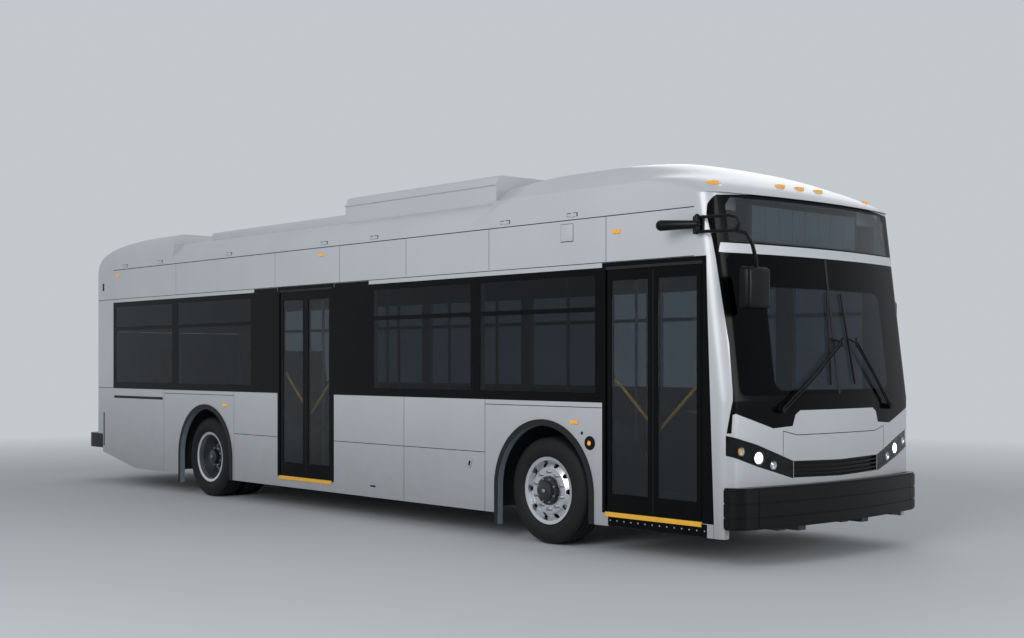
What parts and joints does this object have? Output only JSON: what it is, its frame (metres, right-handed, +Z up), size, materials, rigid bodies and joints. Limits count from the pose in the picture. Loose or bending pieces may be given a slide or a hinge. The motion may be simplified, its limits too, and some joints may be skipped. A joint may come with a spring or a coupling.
{
  "type": "low-floor city bus",
  "caption": "Low-floor single-deck city bus body with flush glazing, slide-glide doorways, roof housings, steered front wheels and twin rear wheels.",
  "frame": {"origin": "on the ground under the middle of the bus", "axes": "+X forward, +Y to the left, +Z up"},
  "size_m": [11.65, 2.9979, 3.42],
  "materials": {
    "body_paint": "gloss silver-white paint",
    "black_trim": "gloss black",
    "black_plastic": "satin black moulded",
    "black_rubber": "satin rubber",
    "glass": "dark tinted glass",
    "red_lens": "clear red lens",
    "amber_lens": "clear amber lens",
    "yellow_paint": "powder-coated safety yellow",
    "floor_grey": "matte slip-resistant covering",
    "chassis_steel": "satin chassis paint",
    "dark_plastic": "matte moulded",
    "seat_plastic": "satin moulded shell",
    "seat_fabric": "woven cloth",
    "tyre": "moulded tread rubber",
    "wheel_alloy": "machined forged aluminium"
  },
  "bodies": {
    "body": {"wall_right": "body_paint", "wall_left": "body_paint", "roof_panel": "body_paint", "front_cap": "body_paint", "rear_hump": "body_paint", "low_roof_box": "body_paint", "high_roof_box": "body_paint", "nose_panel": "body_paint", "screen_frame": "black_trim", "windscreen": "glass", "sign_glass": "glass", "rear_cap": "body_paint", "front_bumper": "black_plastic", "rear_bumper": "black_plastic", "headlamps": "black_trim", "tail_lamps": "red_lens", "marker_lamps": "amber_lens", "side_glass": "glass", "pillar_panels": "black_trim", "arch_trims": "black_rubber", "door_portals": "black_trim", "steps": "yellow_paint", "mirrors": "black_plastic", "wipers": "black_plastic", "floor_deck": "floor_grey", "underframe": "chassis_steel", "wheelhouses": "dark_plastic", "front_axle": "chassis_steel", "rear_axle": "chassis_steel", "battery_block": "chassis_steel", "seats": "seat_plastic", "driver_seat": "seat_fabric", "dashboard": "dark_plastic", "steering_wheel": "black_plastic", "stanchions": "yellow_paint", "tow_eyes": "chassis_steel", "grille": "black_plastic"},
    "hatch": {"rear_hatch": "body_paint"},
    "knuckle_r": {"knuckle_right": "chassis_steel"},
    "knuckle_l": {"knuckle_left": "chassis_steel"},
    "wheel_fr": {"tyre_front_right": "tyre", "rim_front_right": "wheel_alloy"},
    "wheel_fl": {"tyre_front_left": "tyre", "rim_front_left": "wheel_alloy"},
    "wheel_rr": {"tyres_rear_right": "tyre", "rims_rear_right": "wheel_alloy"},
    "wheel_rl": {"tyres_rear_left": "tyre", "rims_rear_left": "wheel_alloy"},
    "arm_a": {"door_arm_a": "chassis_steel"},
    "arm_b": {"door_arm_b": "chassis_steel"},
    "arm_c": {"door_arm_c": "chassis_steel"},
    "arm_d": {"door_arm_d": "chassis_steel"},
    "door_a": {"leaf_a": "black_trim", "leaf_glass_a": "glass"},
    "door_b": {"leaf_b": "black_trim", "leaf_glass_b": "glass"},
    "door_c": {"leaf_c": "black_trim", "leaf_glass_c": "glass"},
    "door_d": {"leaf_d": "black_trim", "leaf_glass_d": "glass"}
  },
  "joints": [
    {"name": "steer_right", "type": "hinge", "parent": "body", "child": "knuckle_r", "pos_m": [3.505, -0.9545, 0.48], "axis": [0, 0, 1], "range_deg": [-40, 40]},
    {"name": "steer_left", "type": "hinge", "parent": "body", "child": "knuckle_l", "pos_m": [3.505, 0.9545, 0.48], "axis": [0, 0, 1], "range_deg": [-40, 40]},
    {"name": "roll_front_right", "type": "hinge", "parent": "knuckle_r", "child": "wheel_fr", "pos_m": [3.505, -1.1045, 0.48], "axis": [0, 1, 0], "continuous": true},
    {"name": "roll_front_left", "type": "hinge", "parent": "knuckle_l", "child": "wheel_fl", "pos_m": [3.505, 1.1045, 0.48], "axis": [0, 1, 0], "continuous": true},
    {"name": "roll_rear_right", "type": "hinge", "parent": "body", "child": "wheel_rr", "pos_m": [-2.445, -1.1045, 0.48], "axis": [0, 1, 0], "continuous": true},
    {"name": "roll_rear_left", "type": "hinge", "parent": "body", "child": "wheel_rl", "pos_m": [-2.445, 1.1045, 0.48], "axis": [0, 1, 0], "continuous": true},
    {"name": "front_door", "type": "hinge", "parent": "body", "child": "arm_a", "pos_m": [4.328, -1.268, 2.42], "axis": [0, 0, 1], "range_deg": [0, 86]},
    {"name": "front_door_fore_arm", "type": "hinge", "parent": "body", "child": "arm_b", "pos_m": [5.292, -1.268, 2.42], "axis": [0, 0, -1], "range_deg": [0, 86]},
    {"name": "front_door_aft_leaf", "type": "hinge", "parent": "arm_a", "child": "door_a", "pos_m": [4.5665, -1.268, 2.4], "axis": [0, 0, 1], "range_deg": [-172, 0]},
    {"name": "front_door_fore_leaf", "type": "hinge", "parent": "arm_b", "child": "door_b", "pos_m": [5.0535, -1.268, 2.4], "axis": [0, 0, -1], "range_deg": [-172, 0]},
    {"name": "rear_door", "type": "hinge", "parent": "body", "child": "arm_c", "pos_m": [-0.743, -1.268, 2.42], "axis": [0, 0, 1], "range_deg": [0, 86]},
    {"name": "rear_door_fore_arm", "type": "hinge", "parent": "body", "child": "arm_d", "pos_m": [0.187, -1.268, 2.42], "axis": [0, 0, -1], "range_deg": [0, 86]},
    {"name": "rear_door_aft_leaf", "type": "hinge", "parent": "arm_c", "child": "door_c", "pos_m": [-0.513, -1.268, 2.4], "axis": [0, 0, 1], "range_deg": [-172, 0]},
    {"name": "rear_door_fore_leaf", "type": "hinge", "parent": "arm_d", "child": "door_d", "pos_m": [-0.043, -1.268, 2.4], "axis": [0, 0, -1], "range_deg": [-172, 0]},
    {"name": "rear_hatch_lift", "type": "hinge", "parent": "body", "child": "hatch", "pos_m": [-5.601, 0, 2.053], "axis": [0, 1, 0], "range_deg": [0, 80]}
  ],
  "couplings": [
    {"joint": "steer_left", "follows": "steer_right", "ratio": 1},
    {"joint": "front_door_fore_arm", "follows": "front_door", "ratio": 1},
    {"joint": "front_door_aft_leaf", "follows": "front_door", "ratio": -2},
    {"joint": "front_door_fore_leaf", "follows": "front_door", "ratio": -2},
    {"joint": "rear_door_fore_arm", "follows": "rear_door", "ratio": 1},
    {"joint": "rear_door_aft_leaf", "follows": "rear_door", "ratio": -2},
    {"joint": "rear_door_fore_leaf", "follows": "rear_door", "ratio": -2}
  ]
}
